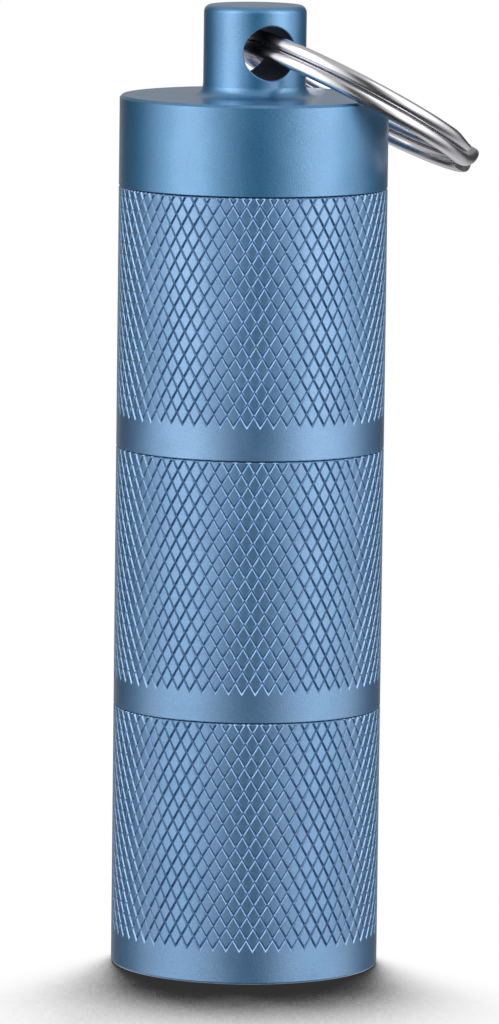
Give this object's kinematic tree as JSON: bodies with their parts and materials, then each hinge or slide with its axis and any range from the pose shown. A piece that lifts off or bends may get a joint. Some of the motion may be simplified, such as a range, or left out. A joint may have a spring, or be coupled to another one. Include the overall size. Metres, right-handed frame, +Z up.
{
  "type": "pill fob keychain",
  "caption": "Slim metal pill fob: knurled chambers that screw onto each other, a screw cap with a cross-drilled boss, hidden seal rings and a split ring for keys.",
  "frame": {"origin": "centre of the lower chamber's base", "axes": "+Z up along the stack's axis, Y along the hole that holds the split ring, +X the side that the ring leans to"},
  "size_m": [0.0343, 0.0254, 0.0914],
  "materials": {
    "anodised_blue": "bead-blasted and anodised blue, satin",
    "plated_steel": "bright nickel plate",
    "seal_rubber": "smooth moulded nitrile rubber"
  },
  "bodies": {
    "lower": {"lower_chamber": "anodised_blue"},
    "middle_lifter": {"middle_seal": "seal_rubber"},
    "middle": {"middle_chamber": "anodised_blue"},
    "upper_lifter": {"upper_seal": "seal_rubber"},
    "upper": {"upper_chamber": "anodised_blue"},
    "cap_lifter": {"cap_seal": "seal_rubber"},
    "cap": {"cap": "anodised_blue"},
    "ring": {"split_ring": "plated_steel"}
  },
  "joints": [
    {"name": "middle_lift", "type": "slide", "parent": "lower", "child": "middle_lifter", "axis": [0, 0, 1], "range_m": [0, 0.0049]},
    {"name": "middle_turn", "type": "hinge", "parent": "middle_lifter", "child": "middle", "pos_m": [0, 0, 0.0248], "axis": [0, 0, 1], "range_deg": [0, 1170]},
    {"name": "upper_lift", "type": "slide", "parent": "middle", "child": "upper_lifter", "axis": [0, 0, 1], "range_m": [0, 0.0049]},
    {"name": "upper_turn", "type": "hinge", "parent": "upper_lifter", "child": "upper", "pos_m": [0, 0, 0.0495], "axis": [0, 0, 1], "range_deg": [0, 1170]},
    {"name": "cap_lift", "type": "slide", "parent": "upper", "child": "cap_lifter", "axis": [0, 0, 1], "range_m": [0, 0.0049]},
    {"name": "cap_turn", "type": "hinge", "parent": "cap_lifter", "child": "cap", "pos_m": [0, 0, 0.0742], "axis": [0, 0, 1], "range_deg": [0, 1170]},
    {"name": "ring_swing", "type": "hinge", "parent": "cap", "child": "ring", "pos_m": [0, 0, 0.0871], "axis": [0, -1, 0], "range_deg": [0, 227.5]}
  ],
  "couplings": [
    {"joint": "middle_lift", "follows": "middle_turn", "m_per_rad": 0.00023873},
    {"joint": "upper_lift", "follows": "upper_turn", "m_per_rad": 0.00023873},
    {"joint": "cap_lift", "follows": "cap_turn", "m_per_rad": 0.00023873}
  ]
}
